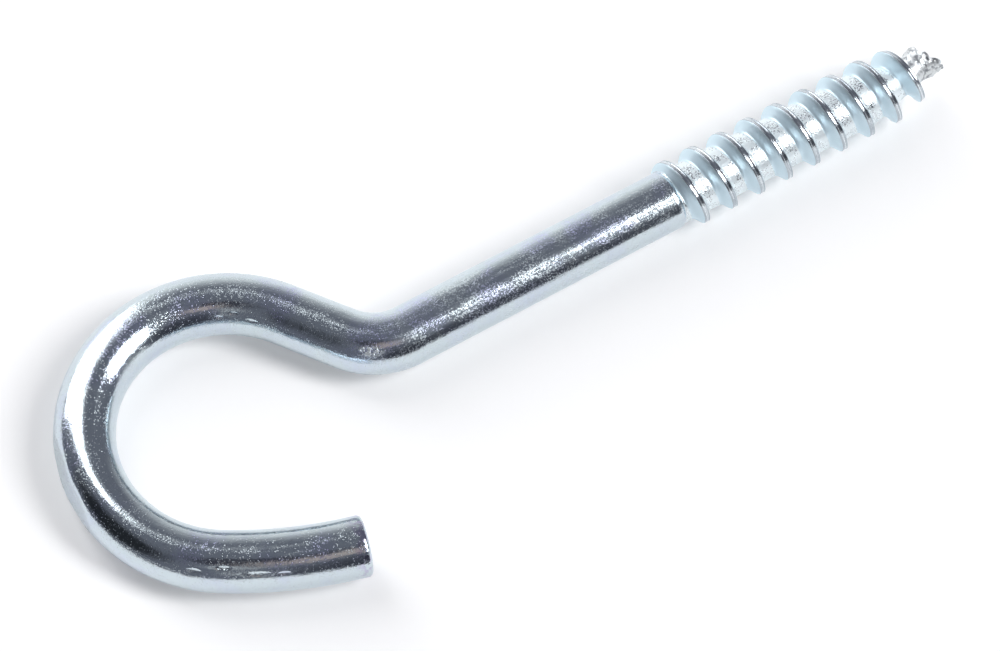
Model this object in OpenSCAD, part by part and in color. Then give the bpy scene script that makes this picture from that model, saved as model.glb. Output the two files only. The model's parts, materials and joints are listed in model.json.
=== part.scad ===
// Screw hook: one length of round steel wire with a coarse wood thread rolled on one end
// and a round open hook bent on the other, lying flat on its side.
// X is the screw axis with the tip at +X, the wire is bent in the XY plane and Z is up.
// The origin is on the screw axis at the shoulder, where the thread starts.

/* [Wire] */
// Diameter of the plain wire
wire_d = 4.9; // [4.6:0.1:5.4]
// Straight end of the lip, where the wire was cut off
cut_len = 1; // [0.8:0.1:6]
// Rounding of the cut end
end_round = 0.4; // [0.1:0.05:0.7]

/* [Hook] */
// Straight shank from the shoulder to the neck bend
shank_len = 24; // [10:0.5:60]
// Inside radius of the neck bend
neck_inner_r = 3.1; // [1:0.1:10]
// Angle that the neck turns off the screw axis
neck_turn = 53.5; // [30:0.5:75]
// Straight arm between the neck bend and the bowl
arm_len = 5.2; // [1:0.1:12]
// Clear diameter inside the bowl
bowl_inner_d = 17.1; // [12:0.1:30]
// Angle that the bowl turns
bowl_turn = 202; // [170:1:220]
// Inside radius of the slack bend that ends in the lip
lip_inner_r = 35; // [20:1:80]
// Angle that the lip turns
lip_turn = 15.7; // [5:0.1:25]

/* [Pressed flats] */
// Depth that the bending die pressed into the outside of the bowl
flat_depth = 0.28; // [0.1:0.02:0.4]
// Turn of the bowl at which the first flat lies
flat_at = 129; // [60:1:140]
// Turn from one flat to the next
flat_step = 11; // [8:1:20]
// Number of flats
flat_count = 2; // [1:1:3]

/* [Thread] */
// Outside diameter over the thread crests
thread_d = 6; // [5.6:0.1:7]
// Diameter of the core between the crests
core_d = 4.5; // [3.8:0.1:4.5]
// Advance of the thread in one turn
pitch = 2.6; // [2.3:0.1:3.2]
// Length from the shoulder to the end of the last crest
thread_len = 24.4; // [16:0.1:40]
// Distance from the shoulder to the middle of the first full crest, on the +Y side
crest_start = 0.55; // [0.4:0.05:1.2]
// Width of the flat crest
crest_w = 0.42; // [0.2:0.02:0.6]
// Depth of the rolling seam along the crest
seam_depth = 0.04; // [0.02:0.01:0.2]
// Width of the hollow flank that faces the hook
rear_flank_w = 0.8; // [0.4:0.05:1]
// Width of the flank that faces the tip
front_flank_w = 0.34; // [0.2:0.02:0.5]
// Distance that the end of the shank reaches past the start of the thread
shoulder_past = 0.25; // [0:0.05:0.5]
// Rounding of the shoulder at the end of the shank
shoulder_round = 0.22; // [0.1:0.02:0.5]

/* [Tip] */
// Length over which the core tapers to the end of the thread
core_taper = 5.9; // [4:0.1:9]
// Diameter of the core at the end of the thread
core_end_d = 1.5; // [1.2:0.1:2]
// Length over which the crests taper to the end of the thread
crest_taper = 3.9; // [2:0.1:6]
// Diameter over the crest at the end of the thread
crest_end_d = 3.8; // [3:0.1:4.6]
// Length over which the last crest fades out
fade_len = 0.9; // [0.5:0.1:2]
// Diameter of the torn stub where the point was twisted off
stub_d = 2.9; // [2.2:0.1:3.2]
// Length of the stub from its root inside the core to the end of the thread
stub_root_len = 2.4; // [1.5:0.1:3]
// Distance from the end of the thread to the middle of the tear
tear_mid = 0.4; // [0:0.1:1]
// Distance that the tear runs aslant to each side of its middle
tear_slant = 1.05; // [0.2:0.05:1.2]
// Distance that the tear bows out at its middle
tear_bow = 0.35; // [0:0.05:0.6]
// Length that is broken off the outer edge of the tongue that the slant leaves
tongue_broken = 0.8; // [0:0.1:1]
// Sideways lean of the torn stub
stub_lean = 0.68; // [0:0.02:0.8]
// Depth of the ragged teeth along the tear
tear_depth = 0.2; // [0.05:0.05:0.4]

/* [Hidden] */
$fn = 64;

wire_r = wire_d / 2;
neck_r = neck_inner_r + wire_r;
bowl_r = bowl_inner_d / 2 + wire_r;
lip_r = lip_inner_r + wire_r;

// The wire is this much thinner in radius through a bend, and a bend laps this far into its neighbours
bend_drawn = 0.01;
lap = 0.15;

// Facets of the thread in one turn, and the stub's facets round its axis and along it
turn_steps = 40;
stub_steps = 22;
stub_rings = 5;

core_r = core_d / 2;
crest_r = thread_d / 2;
crest_h = crest_r - core_r;
root_w = pitch - crest_w - rear_flank_w - front_flank_w;
crest_mid = root_w + rear_flank_w + crest_w / 2;

// The rear flank is hollow: it passes through these shares of its width and of the crest's height
flank_hollow = [[0.45, 0.27], [0.8, 0.7]];

// One turn of the thread section: distance along the axis and share of the crest's height
section = [
    [0, 0],
    [root_w, 0],
    for (p = flank_hollow) [root_w + rear_flank_w * p[0], p[1]],
    [crest_mid - crest_w / 2, 1],
    [crest_mid, 1 - seam_depth / crest_h],
    [crest_mid + crest_w / 2, 1]
];
rows = len(section);

// The helix is measured in degrees from +Y towards +Z, and its crest is at crest_start at angle 0.
// It starts inside the shank, and the crest rises out of the shoulder between the two angles.
first_angle = -270;
rise_from = -110;
rise_to = 0;
last_angle = (thread_len - crest_start) / pitch * 360;
fade_turn = fade_len / pitch * 360;
thread_steps = ceil((last_angle - first_angle) / 360 * turn_steps);

// The torn stub: share of its radius at the root, the side on which the tear is shortest, in degrees
// from +Y towards +Z, and, in tear depths, the hollow in its end and the roughness of its rim
stub_root_share = 0.84;
tear_at = 40;
tear_hollow = 1.5;
tear_rough = 0.5;

function smooth(t) = let (s = min(max(t, 0), 1)) s * s * (3 - 2 * s);
function angle_at(i) = first_angle + i * 360 / turn_steps;
function axial_at(i, j) = crest_start - crest_mid + pitch * angle_at(i) / 360 + section[j][0];

// Radii of the core and of the crest at a distance from the shoulder, with the taper to the tip
function tapered(x, r, end_r, span) = r - (r - end_r) * max((x - thread_len + span) / span, 0);
function core_at(x) = tapered(x, core_r, core_end_d / 2, core_taper);
function crest_at(x) = tapered(x, crest_r, crest_end_d / 2, crest_taper);
function rise_at(a) = smooth((a - rise_from) / (rise_to - rise_from));
function height_at(a) = rise_at(a) * smooth((last_angle - a) / fade_turn);
function thread_point(i, j) =
    let (x = axial_at(i, j), a = angle_at(i))
    let (r = core_at(x) + (crest_at(x) - core_at(x)) * section[j][1] * height_at(a))
    [x, r * cos(a), r * sin(a)];

// Uneven lengths of the torn teeth, between -1 and 1 and the same each time
function ragged(k) = sin(k * 131 + 20) * 0.6 + sin(k * 57 + 75) * 0.4;

// Each piece of the wire starts at the origin along +X and carries the next piece at its end
module straight(length) {
    rotate([0, 90, 0]) cylinder(r = wire_r, h = length);
    translate([length, 0, 0]) children();
}

// A bend is drawn a little thinner than what it joins, and its ends lap into that
module arc(r, turn, drawn) {
    side = sign(turn);
    lap_turn = lap / r * 180 / PI;
    translate([0, side * r, 0])
        rotate([0, 0, side > 0 ? -90 - lap_turn : 90 + turn - lap_turn])
            rotate_extrude(angle = abs(turn) + 2 * lap_turn)
                translate([r, 0]) circle(r = wire_r - drawn);
}

module after_arc(r, turn) {
    side = sign(turn);
    translate([0, side * r, 0]) rotate([0, 0, turn]) translate([0, -side * r, 0]) children();
}

module bend(r, turn, drawn) {
    arc(r, turn, drawn);
    after_arc(r, turn) children();
}

// The bowl, with the shallow flats that the die left on its outside
module bowl() {
    difference() {
        arc(bowl_r, bowl_turn, bend_drawn);
        for (k = [0 : flat_count - 1])
            translate([0, bowl_r, 0]) rotate([0, 0, flat_at + k * flat_step - 90])
                translate([bowl_r + wire_r - flat_depth, -wire_d, -wire_r])
                    cube([wire_r, 2 * wire_d, wire_d]);
    }
    after_arc(bowl_r, bowl_turn) children();
}

// A length of wire that ends in a flat face with a rounded rim
module rounded_end(length, rim) {
    rotate([0, 90, 0]) rotate_extrude() {
        square([wire_r - rim, length]);
        square([wire_r, length - rim]);
        translate([wire_r - rim, length - rim]) intersection() {
            circle(r = rim);
            square(rim);
        }
    }
}

module bent_wire() {
    translate([-shank_len, 0, 0]) {
        rounded_end(shank_len + shoulder_past, shoulder_round);
        rotate([0, 0, 180])
            bend(neck_r, -neck_turn, bend_drawn)
                straight(arm_len)
                    bowl()
                        bend(lip_r, lip_turn, 2 * bend_drawn)
                            rounded_end(cut_len, end_round);
    }
}

// The rolled thread: the section wound into a helix on the core, with a fan of facets to close each end
module thread() {
    last = thread_steps;
    rest = rows - 1;
    // The first row runs one turn past the others, to close the last turn
    first_row = [for (i = [0 : last + turn_steps]) thread_point(i, 0)];
    others = [for (i = [0 : last]) for (j = [1 : rest]) thread_point(i, j)];
    ends = [[axial_at(0, 0), 0, 0], [axial_at(last, rest), 0, 0]];
    base = len(first_row);
    function at(i, j) = j == 0 ? i : j > rest ? i + turn_steps : base + i * rest + j - 1;
    start_cap = base + len(others);
    end_cap = start_cap + 1;
    skin = [for (i = [0 : last - 1]) for (j = [0 : rest]) each [
        [at(i, j), at(i + 1, j + 1), at(i + 1, j)],
        [at(i, j), at(i, j + 1), at(i + 1, j + 1)]
    ]];
    start_fan = [
        for (i = [0 : turn_steps - 1]) [start_cap, at(i, 0), at(i + 1, 0)],
        for (j = [0 : rest]) [start_cap, at(0, j + 1), at(0, j)]
    ];
    end_fan = [
        for (i = [0 : turn_steps - 1]) [end_cap, at(last + i + 1, 0), at(last + i, 0)],
        for (j = [0 : rest]) [end_cap, at(last, j), at(last, j + 1)]
    ];
    polyhedron(concat(first_row, others, ends), concat(skin, start_fan, end_fan));
}

// The twisted-off end of the tip: a stub that swells, leans and ends in a slanting ragged tear
module torn_stub() {
    from = thread_len - stub_root_len;
    middle = thread_len + tear_mid;
    function facing(a) = cos(a - tear_at);
    function slanted(f) = tear_bow * (1 - f * f) - tear_slant * f - tongue_broken * pow(max(-f, 0), 4);
    function ring_point(k, i) =
        let (t = k / stub_rings, a = 360 * i / stub_steps)
        let (x = from + (middle + slanted(facing(a)) + tear_depth * ragged(i) - from) * t)
        let (swell = smooth((x - from) / stub_root_len))
        let (rough = tear_depth * tear_rough * t * ragged(i * 3 + k * 5))
        let (r = stub_d / 2 * (stub_root_share + (1 - stub_root_share) * swell) + rough)
        [x, stub_lean * swell + r * cos(a), r * sin(a)];
    points = [for (k = [0 : stub_rings]) for (i = [0 : stub_steps - 1]) ring_point(k, i)];
    hollow = [middle - tear_depth * tear_hollow, stub_lean, 0];
    function at(k, i) = k * stub_steps + i % stub_steps;
    last = len(points);
    sides = [for (k = [0 : stub_rings - 1]) for (i = [0 : stub_steps - 1]) each [
        [at(k, i), at(k + 1, i + 1), at(k, i + 1)],
        [at(k, i), at(k + 1, i), at(k + 1, i + 1)]
    ]];
    caps = [for (i = [0 : stub_steps - 1]) each [
        [last, at(0, i), at(0, i + 1)],
        [last + 1, at(stub_rings, i + 1), at(stub_rings, i)]
    ]];
    polyhedron(concat(points, [[from, 0, 0], hollow]), concat(sides, caps));
}

module screw_hook() {
    color([0.78, 0.83, 0.88]) {
        bent_wire();
        thread();
        torn_stub();
    }
}

screw_hook();
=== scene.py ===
import bpy
import json
import math
from mathutils import Matrix, Vector


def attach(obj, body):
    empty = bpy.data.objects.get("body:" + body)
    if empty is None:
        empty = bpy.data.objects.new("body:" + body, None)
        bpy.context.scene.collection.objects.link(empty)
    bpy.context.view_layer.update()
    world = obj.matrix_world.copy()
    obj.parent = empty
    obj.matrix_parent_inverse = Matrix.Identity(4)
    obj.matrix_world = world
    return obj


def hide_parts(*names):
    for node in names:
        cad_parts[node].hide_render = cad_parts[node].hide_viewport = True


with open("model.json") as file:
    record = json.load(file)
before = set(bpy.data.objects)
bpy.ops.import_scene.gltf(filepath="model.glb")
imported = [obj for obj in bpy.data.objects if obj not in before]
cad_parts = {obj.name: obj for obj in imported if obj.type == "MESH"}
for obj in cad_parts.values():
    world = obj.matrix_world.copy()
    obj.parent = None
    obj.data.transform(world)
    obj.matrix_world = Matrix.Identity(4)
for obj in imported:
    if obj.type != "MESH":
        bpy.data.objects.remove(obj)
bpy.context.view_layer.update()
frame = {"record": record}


# The screw hook is one length of round steel wire. A coarse wood thread is rolled on one end,
# its point is twisted off, the other end is bent cold into an open hook, and the whole is zinc plated.
class Value:
    """A node's socket in a Python sum: each operator adds one Math node to the socket's tree."""

    def __init__(self, tree, socket=None):
        self.tree = tree
        self.socket = socket

    def node(self, kind, settings, sockets, out=0):
        """Add a node of this kind: its settings are set first, then its sockets get values or links."""
        made = self.tree.nodes.new(kind)
        for name, setting in settings.items():
            setattr(made, name, setting)
        for key, value in sockets.items():
            if isinstance(value, Value):
                self.tree.links.new(value.socket, made.inputs[key])
            else:
                made.inputs[key].default_value = value
        return None if out is None else Value(self.tree, made.outputs[out])

    def maths(self, operation, *terms):
        return self.node("ShaderNodeMath", {"operation": operation}, dict(enumerate(terms)))

    def vectors(self, operation, *terms, out=0):
        return self.node("ShaderNodeVectorMath", {"operation": operation}, dict(enumerate(terms)), out)

    def __add__(self, other):
        return self.maths("ADD", self, other)

    def __sub__(self, other):
        return self.maths("SUBTRACT", self, other)

    def __rsub__(self, other):
        return self.maths("SUBTRACT", other, self)

    def __mul__(self, other):
        return self.maths("MULTIPLY", self, other)

    def __truediv__(self, other):
        return self.maths("DIVIDE", self, other)

    def __pow__(self, other):
        return self.maths("POWER", self, other)

    __radd__ = __add__
    __rmul__ = __mul__

    def at_least(self, other):
        return self.maths("MAXIMUM", self, other)

    def at_most(self, other):
        return self.maths("MINIMUM", self, other)

    def share(self, start, end, curve="LINEAR"):
        """0 where the value is at start, 1 where it is at end, and held beyond them."""
        return self.node(
            "ShaderNodeMapRange",
            {"interpolation_type": curve},
            {"Value": self, "From Min": start, "From Max": end},
        )

    def tint(self, low, high):
        """The low colour where the value is 0, and the high one where it is 1."""
        low, high = (colour if isinstance(colour, Value) else (*colour, 1) for colour in (low, high))
        factor, first_colour, second_colour, mixed_colour = 0, 6, 7, 2
        sockets = {factor: self, first_colour: low, second_colour: high}
        return self.node("ShaderNodeMix", {"data_type": "RGBA"}, sockets, mixed_colour)


mm = 0.001
mounts = {mount["name"]: mount["dims"] for mount in frame["record"]["mounts"]}
thread_r = mounts["screw_thread"]["r_mm"] * mm
thread_len = mounts["screw_thread"]["length_mm"] * mm
bowl_inner_r = mounts["hook_seat"]["r_mm"] * mm
wire_r = mounts["hook_seat"]["length_mm"] * mm / 2

# The bends from the tip to the cut end: length or radius of the centreline, and turn in degrees
shank_len = 24 * mm
neck_r = 3.1 * mm + wire_r
arm_len = 5.2 * mm
bowl_r = bowl_inner_r + wire_r
lip_r = 35 * mm + wire_r
cut_len = 1 * mm
tip_x = 26 * mm
neck_turn, bowl_turn, lip_turn = -53.5, 202, 15.7
bends = [
    (tip_x + shank_len, 0),
    (neck_r, neck_turn),
    (arm_len, 0),
    (bowl_r, bowl_turn),
    (lip_r, lip_turn),
    (cut_len, 0),
]
path_step = 0.1 * mm
path = [Vector((tip_x, 0, 0))]
heading = math.pi
for size, turned_by in bends:
    bend = math.radians(turned_by)
    length = abs(bend) * size if turned_by else size
    steps = math.ceil(length / path_step)
    if turned_by == bowl_turn:
        bowl_centre = path[-1] + bowl_r * Vector((-math.sin(heading), math.cos(heading), 0))
        bowl_from = heading - math.pi / 2
    for _ in range(steps):
        middle = heading + bend / steps / 2
        chord = length / steps
        if turned_by:
            chord = 2 * size * math.sin(abs(bend) / steps / 2)
        path.append(path[-1] + chord * Vector((math.cos(middle), math.sin(middle), 0)))
        heading += bend / steps
wire_len = sum((b - a).length for a, b in zip(path, path[1:])) - tip_x

line = bpy.data.meshes.new("centreline")
line.from_pydata(path, [(k, k + 1) for k in range(len(path) - 1)], [])
hook = bpy.data.objects.new("plated_hook", line)
bpy.context.scene.collection.objects.link(hook)

tree = bpy.data.node_groups.new("bent wire with a rolled thread", "GeometryNodeTree")
tree.interface.new_socket("Geometry", in_out="OUTPUT", socket_type="NodeSocketGeometry")
tree.interface.new_socket("Geometry", in_out="INPUT", socket_type="NodeSocketGeometry")
sizes = {
    "Wire radius": wire_r,
    "End rounding": 0.4 * mm,
    "Shoulder place": 0.25 * mm,
    "Shoulder length": 0.5 * mm,
    "Shoulder drop": 0.22 * mm,
    "Crest radius": thread_r,
    "Core radius": 2.25 * mm,
    "Pitch": 2.6 * mm,
    "First crest": 0.55 * mm,
    "Half crest": 0.21 * mm,
    "Seam depth": 0.04 * mm,
    "Rear flank": 0.8 * mm,
    "Front flank": 0.34 * mm,
    "Core taper": 5.9 * mm,
    "Core end radius": 0.75 * mm,
    "Crest taper": 3.9 * mm,
    "Crest end radius": 1.9 * mm,
    "Fade length": 0.9 * mm,
    "Stub radius": 1.45 * mm,
    "Stub lean": 0.68 * mm,
    "Tear slant": 0.7 * mm,
    "Tear bow": 0.6 * mm,
    "Tongue broken": 0.8 * mm,
    "Tear depth": 0.2 * mm,
    "Flat depth": 0.28 * mm,
}
hook_nodes = hook.modifiers.new("wire", "NODES")
hook_nodes.node_group = tree
for name, size in sizes.items():
    socket = tree.interface.new_socket(name, in_out="INPUT", socket_type="NodeSocketFloat")
    hook_nodes[socket.identifier] = size
inlet = tree.nodes.new("NodeGroupInput")
wanted = {name: Value(tree, inlet.outputs[name]) for name in sizes}
bench = Value(tree)

# The skin is a sheet of rows and columns, wound so that its rows follow the thread's helix: the last
# column lies a whole turn's rows further on than the first, and there the two meet.
turn_rows = 40
columns = 80
face_rows, rim_rows, wire_rows, tip_rows = 8, 6, 250, 8
thread_start = sizes["First crest"] - sizes["Pitch"]
stub_len = 1 * mm
row_w = sizes["Pitch"] / turn_rows
thread_rows = math.ceil((thread_len + stub_len - thread_start) / row_w)
rim_row = turn_rows + face_rows
wire_row = rim_row + rim_rows
thread_row = wire_row + wire_rows
tip_row = thread_row + thread_rows
rows = tip_row + tip_rows + turn_rows
sheet = bench.node(
    "GeometryNodeMeshGrid",
    {},
    {"Size X": rows, "Size Y": columns, "Vertices X": rows + 1, "Vertices Y": columns + 1},
)
spot = bench.node("GeometryNodeInputPosition", {}, {})
row = bench.node("ShaderNodeSeparateXYZ", {}, {0: spot}, "X") + rows / 2
turn = (bench.node("ShaderNodeSeparateXYZ", {}, {0: spot}, "Y") + columns / 2) / columns
row = row + turn * turn_rows
angle = turn * math.tau
across = bench.maths("COSINE", angle)
upward = bench.maths("SINE", angle)

# Distance along the wire from the shoulder: rows are close on the thread and widen over the shank
spread_rows = 60
behind = (thread_row - row).at_least(0).at_most(wire_rows)
widening = behind.at_most(spread_rows)
plain_len = wire_len - sizes["End rounding"] + thread_start
wire_step = (plain_len - row_w * spread_rows / 2) / (wire_rows - spread_rows / 2)
growth = (wire_step - row_w) / spread_rows / 2
back = widening * row_w + widening * widening * growth + (behind - widening) * wire_step
ahead = (row - thread_row).at_least(0).at_most(thread_rows) * row_w
rim_turn = row.share(rim_row, wire_row) * (math.pi / 2)
along = thread_start - back + ahead - wanted["End rounding"] * bench.maths("COSINE", rim_turn)

# Past the last crest the rows are drawn out to the tear, which runs aslant across the stub and leaves
# a tongue, whose outer edge is broken off. Rows on the torn face lead from there to its hollow middle.
tear_mid = thread_len + 0.4 * mm
tear_from = thread_len - 1.3 * mm
tear_side = math.radians(40)
tongue_edge = 4
tear_hollow = 1.5
facing = bench.maths("COSINE", angle - tear_side)
tear_end = tear_mid - wanted["Tear slant"] * facing + wanted["Tear bow"] * (1 - facing * facing)
tear_end = tear_end - wanted["Tongue broken"] * (0 - facing).at_least(0) ** tongue_edge
torn = along.share(tear_from, thread_start + thread_rows * row_w)
along = along.at_most(tear_from) + torn * (tear_end - tear_from)
torn_face = row.share(tip_row, tip_row + tip_rows)
along = along + (tear_mid - tear_hollow * wanted["Tear depth"] - along) * torn_face

# Radius of the plain wire: flat cut face, rounded rim, and the rounded shoulder at the thread
rim_r = wanted["Wire radius"] - wanted["End rounding"] * (1 - bench.maths("SINE", rim_turn))
plain_r = rim_r * row.share(turn_rows, rim_row)
over = ((along - wanted["Shoulder place"]) / wanted["Shoulder length"] + 1).at_least(0)
sink = 1 - bench.maths("SQRT", (1 - over * over).at_least(0))
plain_r = plain_r - wanted["Shoulder drop"] * sink
plain_r = plain_r * (1 - bench.maths("GREATER_THAN", along, wanted["Shoulder place"]))

# The thread: distance from the nearest crest's middle, and how many turns up the helix that crest is.
# The rear flank is hollow at its foot and rounds over into the crest, and a rolling seam parts the crest.
wound = (along - wanted["First crest"]) / wanted["Pitch"] - turn
crest = bench.maths("ROUND", wound)
aside = (wound - crest) * wanted["Pitch"]
turns_up = crest + turn
flank_hollow = 1.6
hollow_share = 0.25
rear = (aside + wanted["Half crest"] + wanted["Rear flank"]).at_least(0) / wanted["Rear flank"]
rear = rear.at_most(1)
rear = rear ** flank_hollow * hollow_share + rear * rear * (3 - 2 * rear) * (1 - hollow_share)
front = 1 - (aside - wanted["Half crest"]) / wanted["Front flank"]
seam = (1 - bench.maths("ABSOLUTE", aside) / wanted["Half crest"]).at_least(0)
core_tapered = (along - thread_len + wanted["Core taper"]).at_least(0) / wanted["Core taper"]
core_r = wanted["Core radius"] - (wanted["Core radius"] - wanted["Core end radius"]) * core_tapered
crest_tapered = (along - thread_len + wanted["Crest taper"]).at_least(0) / wanted["Crest taper"]
crest_r = wanted["Crest radius"] - (wanted["Crest radius"] - wanted["Crest end radius"]) * crest_tapered
rise_turns = 110 / 360
last_turn = (thread_len - wanted["First crest"]) / wanted["Pitch"]
rise = turns_up.share(-rise_turns, 0, "SMOOTHSTEP")
fade = (last_turn - turns_up).share(0, sizes["Fade length"] / sizes["Pitch"], "SMOOTHSTEP")
ridge = rear.at_most(front.at_least(0)) * (crest_r - core_r)
thread_wall = core_r + (ridge - seam * wanted["Seam depth"]).at_least(0) * rise * fade
thread_wall = thread_wall * bench.maths("GREATER_THAN", along, thread_start)

# The torn stub swells and leans, a little less at its end, and folds run over the torn metal
stub_from = thread_len - 2.4 * mm
stub_root = 0.84
lean_lost = 0.3
swell = along.share(stub_from, thread_len, "SMOOTHSTEP")
stub_wall = wanted["Stub radius"] * (stub_root + (1 - stub_root) * swell)
lean = wanted["Stub lean"] * swell * (1 - torn * lean_lost)
stub_r = lean * across + bench.maths("SQRT", stub_wall * stub_wall - (lean * upward) ** 2)
radius = plain_r.at_least(thread_wall).at_least(stub_r * bench.maths("GREATER_THAN", along, stub_from))
radius = radius * (1 - torn_face)
fold_scale = 2300
fold_out, fold_on = 1.2, 1.5
fold_middle, fold_loss = 0.4, 0.2
folds_at = bench.node("ShaderNodeCombineXYZ", {}, {0: along, 1: radius * across, 2: radius * upward})
fold_cells = {"Vector": folds_at, "Scale": fold_scale}
folds = bench.node("ShaderNodeTexVoronoi", {}, fold_cells, "Distance") - fold_middle
radius = radius + folds * wanted["Tear depth"] * fold_out * torn * (1 - torn_face)
along = along + (folds - fold_loss) * wanted["Tear depth"] * fold_on * torn * torn

# The skin is laid round the centreline, and only the torn end is left in sharp facets
centreline = bench.node("GeometryNodeMeshToCurve", {}, {"Mesh": Value(tree, inlet.outputs["Geometry"])})
held = {"Curves": centreline, "Length": tip_x - along}
centre = bench.node("GeometryNodeSampleCurve", {"mode": "LENGTH"}, held, "Position")
way = bench.node("GeometryNodeSampleCurve", {"mode": "LENGTH"}, held, "Tangent")
outward = bench.vectors("NORMALIZE", bench.vectors("CROSS_PRODUCT", way, (0, 0, 1)))
out_by = {0: outward, "Scale": radius * across}
sideways = bench.node("ShaderNodeVectorMath", {"operation": "SCALE"}, out_by)
raised = bench.node("ShaderNodeCombineXYZ", {}, {2: radius * upward})
sharp_from = 0.6
smooth_skin = bench.maths("LESS_THAN", torn, sharp_from)
unbent = bench.node("ShaderNodeCombineXYZ", {}, {0: along, 1: radius * across, 2: radius * upward})
skin = bench.vectors("ADD", bench.vectors("ADD", centre, sideways), raised)

# The bending die pressed flats into the outside of the bowl: place as a turn of the bowl and tilt, both
# in degrees, and share of the full depth
flats = [
    {"at": 129, "tilt": 14, "pressed": 1},
    {"at": 140, "tilt": 14, "pressed": 1},
    {"at": 143.5, "tilt": 0, "pressed": 0.52},
]
for flat in flats:
    out = bowl_from + math.radians(flat["at"])
    tilt = math.radians(flat["tilt"])
    press = Vector((math.cos(out), math.sin(out), math.tan(tilt))).normalized()
    reach = bench.vectors("DOT_PRODUCT", skin, press, out="Value") - bowl_centre.dot(press)
    reach = reach - bowl_r * math.cos(tilt) - wire_r
    excess = (reach + wanted["Flat depth"] * flat["pressed"]).at_least(0)
    pushed = bench.node("ShaderNodeVectorMath", {"operation": "SCALE"}, {0: press, "Scale": excess})
    skin = bench.vectors("SUBTRACT", skin, pushed)

# Bright zinc with a blue passivated film: dull crystals stand in the mirror of the plate, the film
# has faint violet clouds on the wire's top, painted colour for the violet fringe round the highlights
# there, and the thread, which the rolls left rough, is duller than the wire
zinc = bpy.data.materials.new("bright zinc plate")
zinc.use_nodes = True
zinc.node_tree.nodes.clear()
plate = Value(zinc.node_tree)
place = plate.node("ShaderNodeTexCoord", {}, {}, "Object")


def noise(scale, detail, roughness=0.5):
    sockets = {"Vector": place, "Scale": scale, "Detail": detail, "Roughness": roughness}
    return plate.node("ShaderNodeTexNoise", {}, sockets, "Fac")


# The rolls reached from the shoulder to the tip, and on the crest that rises out of the shoulder
up_screw, beside, above = (plate.node("ShaderNodeSeparateXYZ", {}, {0: place}, axis) for axis in "XYZ")
off_axis = plate.maths("SQRT", beside * beside + above * above)
run_in = up_screw.share(-0.9 * mm, -0.8 * mm) * off_axis.share(wire_r + 0.01 * mm, wire_r + 0.05 * mm)
rolled = up_screw.share(0.22 * mm, 0.3 * mm).at_least(run_in)

# The plain wire: draw marks run along it, dull crystals stand in the plate, and the shank is duller
unbent_wire = plate.node("ShaderNodeAttribute", {"attribute_name": "unbent wire"}, {}, "Vector")
along_wire, up_wire = (plate.node("ShaderNodeSeparateXYZ", {}, {0: unbent_wire}, axis) for axis in "XZ")


def streaks(stretched, detail):
    sockets = {"Vector": stretched, "Scale": 1.0, "Detail": detail}
    return plate.node("ShaderNodeTexNoise", {}, sockets, "Fac")


draw_marks = streaks(plate.vectors("MULTIPLY", unbent_wire, (300, 5200, 5200)), 3)
die_marks = streaks(plate.vectors("MULTIPLY", unbent_wire, (260, 1500, 1500)), 2)
on_shank = along_wire.share(-30 * mm, -24 * mm)
patchy = noise(420, 2).share(0.35, 0.65)
grain = noise(5600, 2)
frost = grain.share(0.555, 0.645).at_least(noise(9500, 1).share(0.58, 0.69)) * (0.3 + patchy * 0.7)
grid = {"Vector": place, "Scale": 8200}
off_grain = plate.node("ShaderNodeTexVoronoi", {}, grid, "Distance")
grain_colour = plate.node("ShaderNodeTexVoronoi", {}, grid, "Color")
grain_pick = plate.node("ShaderNodeSeparateXYZ", {}, {0: grain_colour}, "X")
fresh = along_wire.share(-64 * mm, -46 * mm) * (1 - on_shank)
grain_pick = grain_pick + patchy * 0.3 + fresh * 0.1
dots = off_grain.share(0.55, 0.3) * grain_pick.share(0.72, 1.15)
crystals = dots.at_least(frost * (0.3 + fresh * 0.2 + on_shank * 0.5))
clouds = noise(330, 3).share(0.45, 0.7)
# Violet is kept to the wire's top: painted colour for the violet fringe round the highlights there
highlit_top = up_wire.share(1.3 * mm, 2 * mm)
violet_highlight_fringe = noise(330, 2).share(0.48, 0.58) * highlit_top
clear_film, blue_film, grain_film = (0.61, 0.69, 0.73), (0.58, 0.645, 0.74), (0.54, 0.60, 0.64)
clear_crystal, violet_fringe_crystal = (0.66, 0.73, 0.77), (0.52, 0.53, 0.80)
film = clouds.tint(clear_film, blue_film)
film = grain.share(0.4, 0.28).tint(film, grain_film)
film = crystals.tint(film, violet_highlight_fringe.tint(clear_crystal, violet_fringe_crystal))
wire_dull = 0.1 + on_shank * 0.04 + crystals * 0.24 + draw_marks.share(0.5, 0.8) * 0.14
wire_height = noise(4600, 3, 0.65) * 0.5 + noise(1500, 2) * 0.8 + noise(500, 2) * 1.5 + draw_marks * 0.4
wire_height = wire_height + die_marks * 1.5 + crystals * (0.45 - on_shank * 0.35)


# The bending die left short nicks along the bowl, below its outer edge and above its inner one, and a
# scuff on the neck: place on the straight wire, half length and half width in millimetres
def off_mark(mark):
    mark_place = Vector((mark["along"], mark["across"], mark["up"])) * mm
    stretch = Vector((1 / mark["long"], 1 / mark["wide"], 1 / mark["wide"])) / mm
    away = plate.vectors("MULTIPLY", plate.vectors("SUBTRACT", unbent_wire, mark_place), stretch)
    return plate.vectors("LENGTH", away, out="Value")


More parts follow.
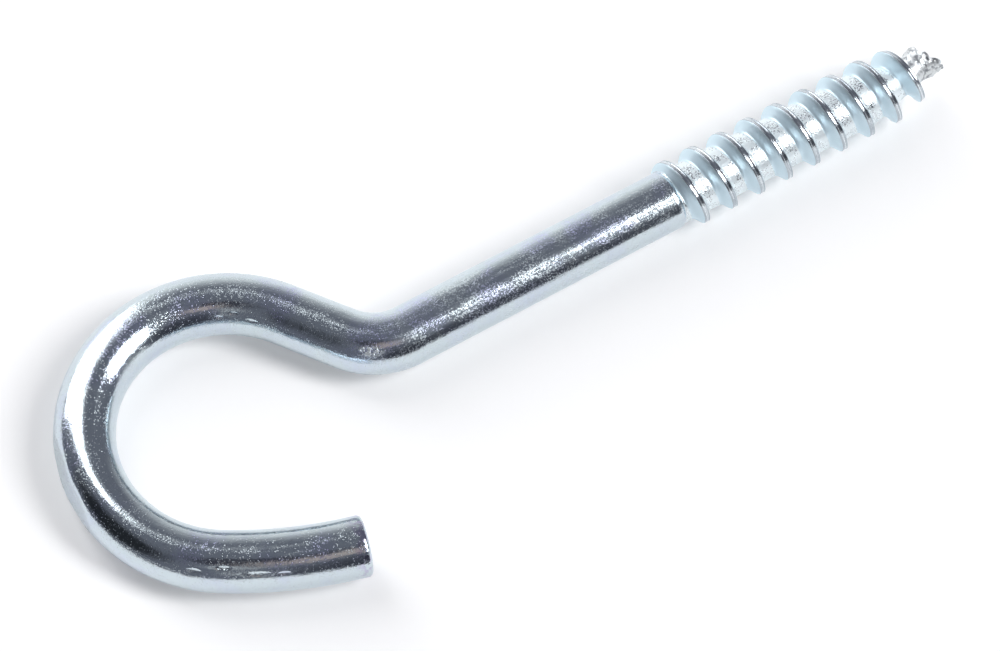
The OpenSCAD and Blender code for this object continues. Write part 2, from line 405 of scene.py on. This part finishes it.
nicks = [
    {"along": -71.4, "across": 1.73, "up": 1.73, "long": 0.8, "wide": 0.3, "deep": 4},
    {"along": -73.4, "across": 1.42, "up": 2.0, "long": 0.7, "wide": 0.25, "deep": 8},
    {"along": -75.9, "across": 1.8, "up": 1.66, "long": 1.5, "wide": 0.3, "deep": 4},
    {"along": -77.8, "across": 1.84, "up": 1.62, "long": 0.7, "wide": 0.2, "deep": 3},
    {"along": -39.7, "across": -1.88, "up": 1.57, "long": 0.6, "wide": 0.2, "deep": 2},
    {"along": -38.3, "across": -1.66, "up": 1.8, "long": 0.6, "wide": 0.2, "deep": 3},
    {"along": -36.6, "across": -1.98, "up": 1.44, "long": 0.8, "wide": 0.2, "deep": 2},
]
for nick in nicks:
    dent = off_mark(nick).share(1, 0, "SMOOTHSTEP")
    wire_height = wire_height - dent * (nick["deep"] + grain * 6)
neck_scuff = {"along": -27.1, "across": -1.6, "up": 1.85, "long": 1.1, "wide": 0.55}
scuff = off_mark(neck_scuff).share(1, 0.5) * noise(4200, 3).share(0.46, 0.56)
scuffed_zinc = (0.82, 0.87, 0.89)
film = scuff.tint(film, scuffed_zinc)
wire_dull = wire_dull + scuff * 0.3
wire_height = wire_height + scuff * 2

# The cutter bruised the wire behind the cut face, and the film is violet there
from_cut = along_wire + wire_len
cut_near = from_cut.share(1.5 * mm, 0.6 * mm) * from_cut.share(0, 0.2 * mm)
bruise = cut_near * noise(1500, 2).share(0.46, 0.56)
bruised_zinc = (0.50, 0.50, 0.64)
film = bruise.tint(film, bruised_zinc)
wire_height = wire_height + noise(2400, 2) * cut_near * 3

# The thread: share of the pitch past the nearest crest's middle. The crest is rubbed and lined by the
# rolls, and painted shade darkens its two edges; the hollow flank behind it is smooth, and the root
# before it is pebbled and pitted.
thread_round = plate.node("ShaderNodeAttribute", {"attribute_name": "thread round"}, {}, "Vector")
thread_cos = plate.node("ShaderNodeSeparateXYZ", {}, {0: thread_round}, "X")
thread_sin = plate.node("ShaderNodeSeparateXYZ", {}, {0: thread_round}, "Y")
past_crest = plate.maths("ARCTAN2", thread_sin, thread_cos) / math.tau
on_crest = plate.maths("ABSOLUTE", past_crest).share(0.105, 0.085)
on_flank = past_crest.share(-0.42, -0.39) * past_crest.share(-0.08, -0.1)
on_root = (1 - on_crest - on_flank).at_least(0)
pits = noise(6800, 2).share(0.52, 0.58) * noise(1100, 2).share(0.43, 0.55) * on_root
lined = {0: past_crest * 28, 1: up_screw * 2400, 2: off_axis * 400}
lines = streaks(plate.node("ShaderNodeCombineXYZ", {}, lined), 3)
specks = noise(7200, 2)
crest_lines_and_edge_shade = lines.share(0.42, 0.56) * 0.6 + specks.share(0.5, 0.62) * 0.4
# Painted shade: the crest's two edges are darkened towards the dark line colour
crest_edge_shade = plate.maths("ABSOLUTE", past_crest).share(0.03, 0.055)
crest_lines_and_edge_shade = crest_lines_and_edge_shade * (1 - crest_edge_shade * 0.75)
root_film, flank_film, pit_film = (0.86, 0.94, 0.97), (0.71, 0.87, 0.95), (0.64, 0.69, 0.72)
crest_dark_and_edge_shade, crest_film = (0.40, 0.45, 0.50), (0.86, 0.91, 0.93)
thread_film = on_flank.tint(root_film, flank_film)
thread_film = on_crest.tint(thread_film, crest_lines_and_edge_shade.tint(crest_dark_and_edge_shade, crest_film))
thread_film = pits.tint(thread_film, pit_film)
thread_dull = 0.31 + on_flank * 0.05 - on_crest * 0.12 - pits * 0.2
thread_height = noise(6800, 2) * on_root * 3 + (lines + specks) * on_crest
thread_height = thread_height + noise(2500, 2) * (0.6 + on_root)
metal = 1 - (on_flank * 0.4 + on_root * 0.48) * (1 - pits) * rolled

# The torn stub is crumpled and grey, with painted shade darkening the low places of its crumple
stub_start = thread_len - 2.1 * mm
stub_side = sizes["Stub radius"] + 0.2 * mm
beside_stub = beside - sizes["Stub lean"]
off_stub = plate.maths("SQRT", beside_stub * beside_stub + above * above)
on_stub = off_stub.share(stub_side + 0.15 * mm, stub_side)
on_stub = up_screw.share(stub_start, stub_start + 0.3 * mm) * on_stub
crumple_and_crease_shade = noise(2600, 3)
painted_crease_shade, torn_grey = (0.30, 0.32, 0.34), (0.72, 0.75, 0.76)
stub_dull = 0.3
# Painted shade: the stub is darkened where its crumple lies low
thread_film = on_stub.tint(thread_film, crumple_and_crease_shade.share(0.38, 0.5).tint(painted_crease_shade, torn_grey))
thread_dull = thread_dull + (stub_dull - thread_dull) * on_stub
thread_height = thread_height + crumple_and_crease_shade * on_stub * 8

bump_depth = 0.012 * mm
film = rolled.tint(film, thread_film)
dull = wire_dull + (thread_dull - wire_dull) * rolled
height = wire_height + (thread_height - wire_height) * rolled
bump = plate.node("ShaderNodeBump", {}, {"Strength": 1.0, "Distance": bump_depth, "Height": height})
shine = plate.node(
    "ShaderNodeBsdfPrincipled",
    {},
    {"Base Color": film, "Metallic": metal, "Roughness": dull, "Normal": bump},
)
plate.node("ShaderNodeOutputMaterial", {}, {"Surface": shine}, None)

# The finished skin carries its place on the straight wire and in the thread for the finish, its seam and
# its two ends are closed, and it becomes a plain mesh
edged = bench.node("GeometryNodeSetShadeSmooth", {}, {"Geometry": sheet, "Shade Smooth": smooth_skin})
marked = bench.node(
    "GeometryNodeStoreNamedAttribute",
    {"data_type": "FLOAT_VECTOR"},
    {"Geometry": edged, "Name": "unbent wire", "Value": unbent},
)
round_crest = {0: bench.maths("COSINE", wound * math.tau), 1: bench.maths("SINE", wound * math.tau)}
wound_round = bench.node("ShaderNodeCombineXYZ", {}, round_crest)
marked = bench.node(
    "GeometryNodeStoreNamedAttribute",
    {"data_type": "FLOAT_VECTOR"},
    {"Geometry": marked, "Name": "thread round", "Value": wound_round},
)
laid = bench.node("GeometryNodeSetPosition", {}, {"Geometry": marked, "Position": skin})
seam_gap = 0.002 * mm
closed = bench.node("GeometryNodeMergeByDistance", {}, {"Geometry": laid, "Distance": seam_gap})
outside = bench.node("GeometryNodeFlipFaces", {}, {"Mesh": closed})
whole = bench.node("GeometryNodeRealizeInstances", {}, {"Geometry": outside})
plated = bench.node("GeometryNodeSetMaterial", {}, {"Geometry": whole, "Material": zinc})
outlet = tree.nodes.new("NodeGroupOutput")
tree.links.new(plated.socket, outlet.inputs["Geometry"])

made = hook.evaluated_get(bpy.context.evaluated_depsgraph_get())
hook_mesh = bpy.data.meshes.new_from_object(made)
hook.modifiers.remove(hook_nodes)
hook.data = hook_mesh
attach(hook, "root")
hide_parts("screw_hook")

# The white paper under the hook is stage. It is flat, and it tips a little, because the hook lies
# on the bowl and on the first thread crest, which stands out further than the wire.
paper_r = 1.5
underside_turn = 0.75
bowl_low = Vector((bowl_centre.x - bowl_r, 0, -wire_r))
crest_low = Vector((sizes["First crest"] + underside_turn * sizes["Pitch"], 0, -thread_r))
slope = (crest_low.z - bowl_low.z) / (crest_low.x - bowl_low.x)
paper_mesh = bpy.data.meshes.new("paper")
corners = [(-paper_r, -paper_r), (paper_r, -paper_r), (paper_r, paper_r), (-paper_r, paper_r)]
corners = [(x, y, bowl_low.z + slope * (x - bowl_low.x)) for x, y in corners]
paper_mesh.from_pydata(corners, [], [(0, 1, 2, 3)])
paper = bpy.data.objects.new("paper", paper_mesh)
bpy.context.scene.collection.objects.link(paper)
white = bpy.data.materials.new("white paper")
white.use_nodes = True
white.node_tree.nodes.clear()
sheet_white = Value(white.node_tree)
rays = ("Is Camera Ray", "Is Glossy Ray", "Is Transmission Ray")
seen, mirrored, through = (sheet_white.node("ShaderNodeLightPath", {}, {}, ray) for ray in rays)
paper_lift = 0.21
lift = (seen + mirrored + through).at_most(1).tint((0, 0, 0), (paper_lift, paper_lift, paper_lift))
pulp = sheet_white.node(
    "ShaderNodeBsdfPrincipled",
    {},
    {
        "Base Color": (0.92, 0.92, 0.92, 1),
        "Roughness": 0.9,
        "Specular IOR Level": 0.1,
        "Emission Color": lift,
        "Emission Strength": 1.0,
    },
)
sheet_white.node("ShaderNodeOutputMaterial", {}, {"Surface": pulp}, None)
paper_mesh.materials.append(white)

# The camera looks down on the hook from the side of its mouth, through a long lens and rolled a little,
# from about 0.4 m away
look_at = Vector((-17.327, -2.863, 0)) * mm
camera_elevation, camera_azimuth, camera_roll = (math.radians(v) for v in (64.03, -34.65, 4.25))
camera_distance = 406.6 * mm
level = math.cos(camera_elevation)
back_way = Vector((
    math.sin(camera_azimuth) * level,
    -math.cos(camera_azimuth) * level,
    math.sin(camera_elevation),
))
right_way = (-back_way).cross(Vector((0, 0, 1))).normalized()
up_way = right_way.cross(-back_way)
rolled_right = math.cos(camera_roll) * right_way + math.sin(camera_roll) * up_way
rolled_up = math.cos(camera_roll) * up_way - math.sin(camera_roll) * right_way
camera_data = bpy.data.cameras.new("camera")
camera_data.sensor_width = 36
camera_data.lens = 186.44
camera_data.clip_start = 0.01
camera = bpy.data.objects.new("camera", camera_data)
turned = Matrix((rolled_right, rolled_up, back_way)).transposed().to_4x4()
camera.matrix_world = Matrix.Translation(look_at + camera_distance * back_way) @ turned
bpy.context.scene.collection.objects.link(camera)
bpy.context.scene.camera = camera

# Two soft boxes stand upright, one on the far left and one on the right: bearing from the far side,
# width, foot and head as seen from the hook, and lean, all in degrees, and radiance
far_way = Vector((0, 0, 1)).cross(rolled_right).normalized()
side_way = far_way.cross(Vector((0, 0, 1)))
lamp_distance = 1.3
lamps = {
    "left box": {"bearing": -43, "wide": 39, "low": 7, "high": 71, "lean": -2, "radiance": 2.9},
    "right box": {"bearing": 98, "wide": 30, "low": 31, "high": 61.5, "lean": 13, "radiance": 11},
}
for name, lamp in lamps.items():
    data = bpy.data.lights.new(name, "AREA")
    data.shape = "RECTANGLE"
    foot, head = (lamp_distance * math.tan(math.radians(lamp[end])) for end in ("low", "high"))
    data.size = 2 * lamp_distance * math.tan(math.radians(lamp["wide"] / 2))
    data.size_y = head - foot
    data.energy = lamp["radiance"] * math.pi * data.size * data.size_y
    lamp_object = bpy.data.objects.new(name, data)
    bearing = math.radians(lamp["bearing"])
    lamp_way = math.cos(bearing) * far_way + math.sin(bearing) * side_way
    lamp_place = look_at + lamp_distance * lamp_way + Vector((0, 0, (foot + head) / 2))
    lamp_object.matrix_world = (
        Matrix.Translation(lamp_place)
        @ lamp_way.to_track_quat("Z", "Y").to_matrix().to_4x4()
        @ Matrix.Rotation(math.radians(-lamp["lean"]), 4, "Z")
    )
    bpy.context.scene.collection.objects.link(lamp_object)

# The dim room has darker and paler patches on its walls, each a soft round spot: bearing, height, rim and
# core in degrees. White paper glows low on its far side.
world = bpy.data.worlds.new("dim room")
world.use_nodes = True
world.node_tree.nodes.clear()
room = Value(world.node_tree)
seen_way = room.node("ShaderNodeTexCoord", {}, {}, "Generated")
walls = (0.16, 0.165, 0.197)
patches = [
    {"bearing": -115, "rise": 33, "edge": 32, "core": 18, "colour": (0.02, 0.022, 0.026)},
    {"bearing": 148, "rise": 14, "edge": 32, "core": 12, "colour": (0.05, 0.052, 0.065)},
    {"bearing": 180, "rise": 64, "edge": 14, "core": 9, "colour": (0.05, 0.05, 0.065)},
    {"bearing": 160, "rise": 55, "edge": 11, "core": 6, "colour": (0.52, 0.43, 0.40)},
    {"bearing": -177, "rise": 43, "edge": 7, "core": 4, "colour": (0.55, 0.55, 0.56)},
    {"bearing": 177, "rise": 22, "edge": 5, "core": 3, "colour": (0.75, 0.75, 0.75)},
    {"bearing": -14, "rise": 65, "edge": 7, "core": 3, "colour": (0.42, 0.42, 0.44)},
    {"bearing": 105, "rise": -2, "edge": 18, "core": 9, "colour": (0.6, 0.6, 0.6)},
]
for patch in patches:
    bearing, rise_up = math.radians(patch["bearing"]), math.radians(patch["rise"])
    level_way = math.cos(bearing) * far_way + math.sin(bearing) * side_way
    patch_way = math.cos(rise_up) * level_way + Vector((0, 0, math.sin(rise_up)))
    nearness = room.vectors("DOT_PRODUCT", seen_way, patch_way, out="Value")
    edge, core = (math.cos(math.radians(patch[part])) for part in ("edge", "core"))
    walls = nearness.share(edge, core).tint(walls, patch["colour"])
glow_bearing = math.radians(-14)
glow_way = math.cos(glow_bearing) * far_way + math.sin(glow_bearing) * side_way
glow_right = math.cos(glow_bearing) * side_way - math.sin(glow_bearing) * far_way
raised_by = room.node("ShaderNodeSeparateXYZ", {}, {0: seen_way}, "Z")
far_side = room.vectors("DOT_PRODUCT", seen_way, glow_way, out="Value")
rightward = room.vectors("DOT_PRODUCT", seen_way, glow_right, out="Value")
lowered = raised_by * (1 + rightward.share(0.36, 0.59) * 0.76)
glow = far_side.share(0.45, 0.97) * lowered.share(0.82, 0.07) * rightward.share(-0.85, -0.6)
paper_white = (1.0, 1.0, 1.0)
walls = glow.tint(walls, paper_white)
light = room.node("ShaderNodeBackground", {}, {"Color": walls, "Strength": 1.0})
room.node("ShaderNodeOutputWorld", {}, {"Surface": light}, None)
bpy.context.scene.world = world
bpy.context.scene.view_settings.view_transform = "Standard"
